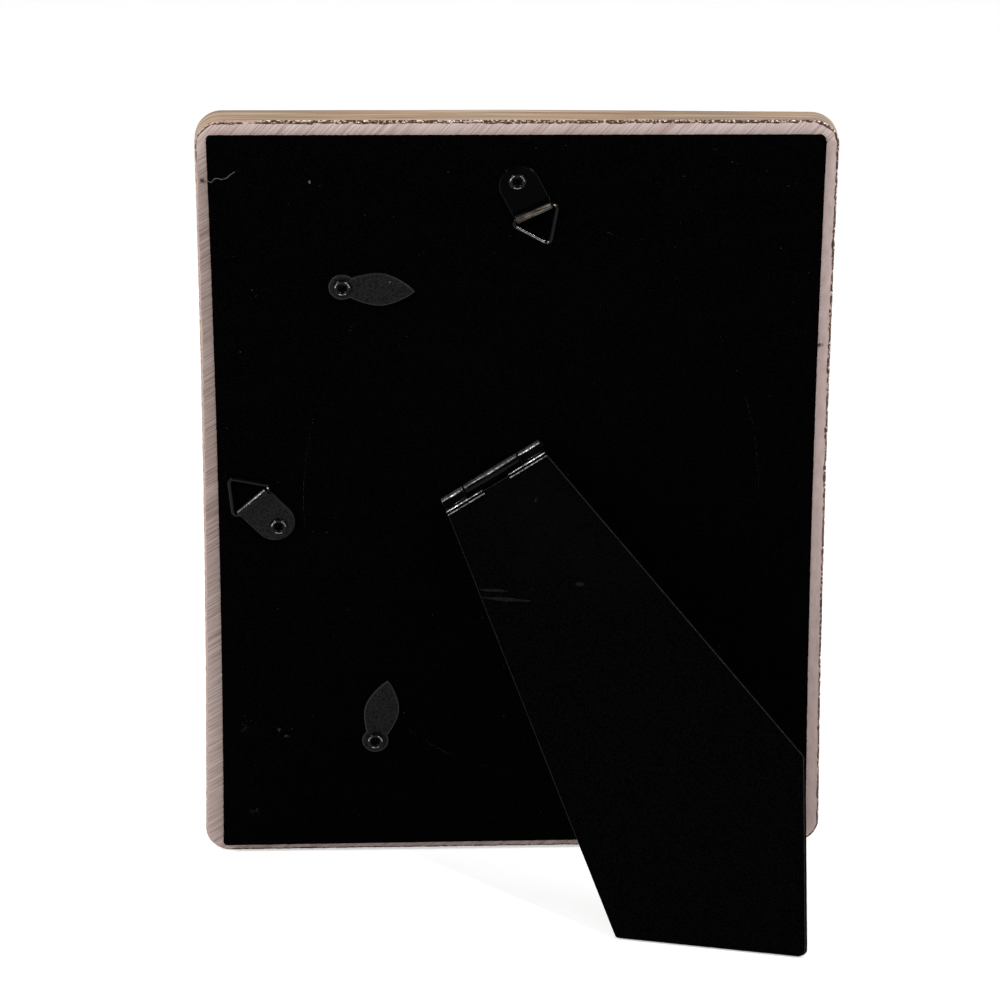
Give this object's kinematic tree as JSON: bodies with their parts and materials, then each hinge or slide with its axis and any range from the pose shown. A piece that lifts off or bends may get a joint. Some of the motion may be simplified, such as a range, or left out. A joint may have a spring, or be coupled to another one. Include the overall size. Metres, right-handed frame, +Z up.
{
  "type": "picture frame",
  "caption": "Cast resin table frame for an oval picture, with a velour back, an oval door held by turn buttons, a slanted easel leg that folds and triangle-ring hangers that swivel.",
  "frame": {"origin": "on the table, under the middle of the whole frame as it stands", "axes": "+Z up; the picture faces -Y and the frame leans back towards +Y, where the leg opens; +X is to the left of somebody who looks at the back"},
  "size_m": [0.1974, 0.1186, 0.2537],
  "materials": {
    "resin": "cast resin with an antique bronze paint, bare and belt-sanded on the back face",
    "glass": "clear float glass",
    "print": "plain insert paper, smooth",
    "card": "grey-brown board",
    "board": "raw hardboard",
    "velour": "black flocked velour paper",
    "lacquer": "glossy black lacquer on steel",
    "dark_steel": "black oxide, dull"
  },
  "bodies": {
    "frame": {"frame_casting": "resin", "oval_glass": "glass", "oval_print": "print", "backing_card": "card", "back_board": "board", "back_velour": "velour", "door_board": "board", "door_velour": "velour", "hinge_fixed_leaf": "lacquer", "hinge_pin": "dark_steel", "button_eyelet_upper": "lacquer", "button_eyelet_lower": "lacquer", "hanger_eyelet_top": "lacquer", "hanger_eyelet_side": "lacquer"},
    "leg": {"hinge_moving_leaf": "lacquer", "leg_board": "board", "leg_velour": "velour"},
    "upper_turn_button": {"turn_button_upper": "dark_steel"},
    "lower_turn_button": {"turn_button_lower": "dark_steel"},
    "top_hanger": {"hanger_strap_top": "lacquer"},
    "top_ring": {"hanger_ring_top": "lacquer"},
    "side_hanger": {"hanger_strap_side": "dark_steel"},
    "side_ring": {"hanger_ring_side": "lacquer"}
  },
  "joints": [
    {"name": "leg_hinge", "type": "hinge", "parent": "frame", "child": "leg", "pos_m": [0.0072, -0.01108, 0.13587], "axis": [0.829, -0.1163, -0.547], "range_deg": [-32.4, 0]},
    {"name": "upper_turn_button_swivel", "type": "hinge", "parent": "frame", "child": "upper_turn_button", "pos_m": [0.05353, -0.0031, 0.20014], "axis": [0, 0.9781, -0.2079], "continuous": true},
    {"name": "lower_turn_button_swivel", "type": "hinge", "parent": "frame", "child": "lower_turn_button", "pos_m": [0.04477, -0.03665, 0.04228], "axis": [0, 0.9781, -0.2079], "continuous": true},
    {"name": "top_hanger_swivel", "type": "hinge", "parent": "frame", "child": "top_hanger", "pos_m": [-0.00014, 0.0043, 0.23496], "axis": [0, 0.9781, -0.2079], "continuous": true},
    {"name": "top_ring_hinge", "type": "hinge", "parent": "top_hanger", "child": "top_ring", "pos_m": [-0.00521, 0.0071, 0.22381], "axis": [0.8973, -0.0918, -0.4319], "range_deg": [-17.5, 136]},
    {"name": "side_hanger_swivel", "type": "hinge", "parent": "frame", "child": "side_hanger", "pos_m": [0.07444, -0.02026, 0.11941], "axis": [0, 0.9781, -0.2079], "continuous": true},
    {"name": "side_ring_hinge", "type": "hinge", "parent": "side_hanger", "child": "side_ring", "pos_m": [0.08221, -0.01355, 0.12665], "axis": [-0.7373, 0.1405, 0.6608], "range_deg": [0, 154]}
  ]
}
